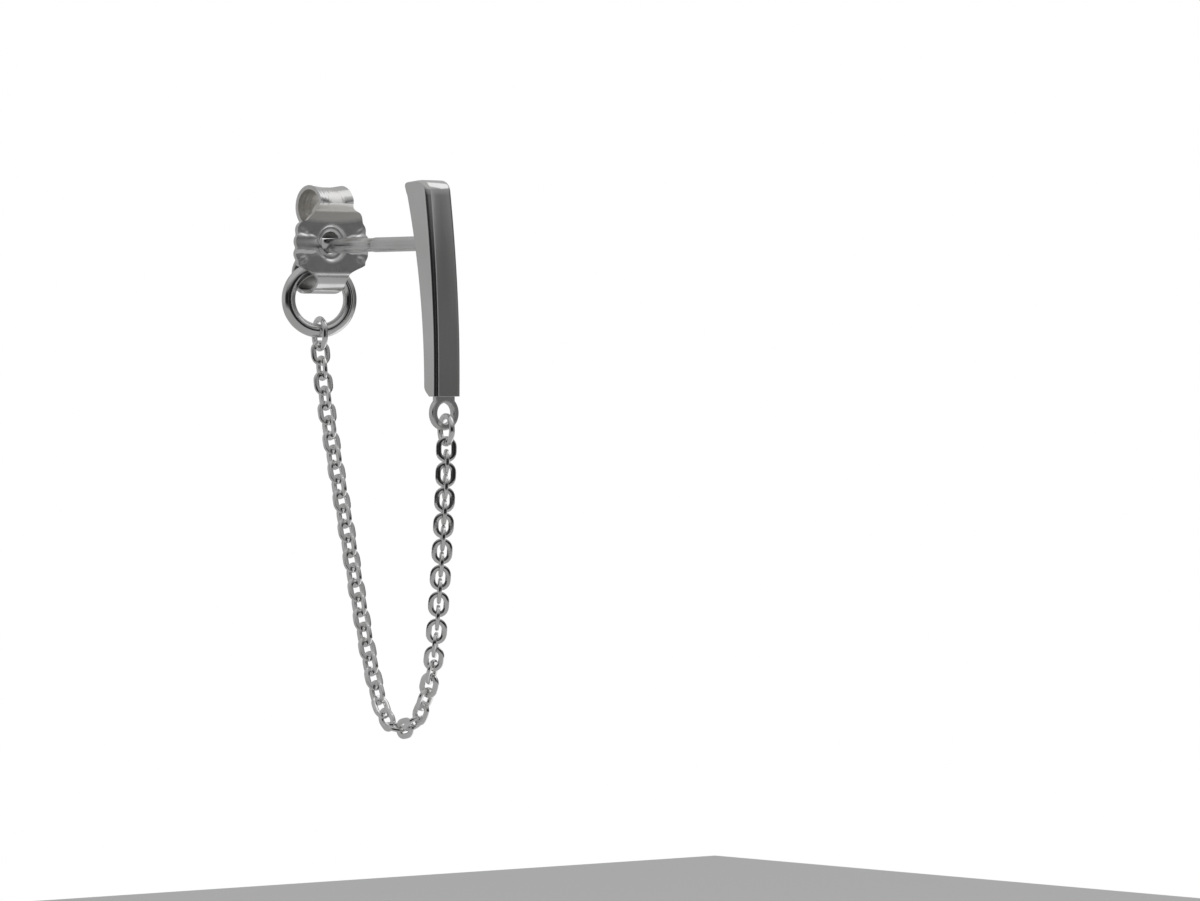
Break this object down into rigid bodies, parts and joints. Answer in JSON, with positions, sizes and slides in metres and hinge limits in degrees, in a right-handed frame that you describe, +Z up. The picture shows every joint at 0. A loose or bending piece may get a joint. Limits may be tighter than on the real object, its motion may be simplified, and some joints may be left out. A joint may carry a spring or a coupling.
{
  "type": "chain earring",
  "caption": "Bowed bar on an ear post, with a fine cable chain that hangs below the lobe from the bar's foot to a ring in the butterfly nut.",
  "frame": {"origin": "on the ear post's axis, in the middle of the ear lobe, between the bar and the nut", "axes": "+Z up, -Y out of the front of the bar, +Y along the post to the nut, +X to the right seen from the front"},
  "size_m": [0.0054, 0.0138, 0.0319],
  "materials": {
    "polished_bar": "polished silver",
    "pressed_sheet": "pressed and tumbled silver sheet",
    "polished_wire": "polished silver wire",
    "link_wire": "polished silver wire",
    "chain_wire": "diamond-cut silver wire"
  },
  "bodies": {
    "root": {"bar_stud": "polished_bar", "ear_nut": "pressed_sheet", "nut_ring": "polished_wire", "ring_link": "link_wire", "chain": "chain_wire", "eye_link": "link_wire"}
  },
  "joints": []
}
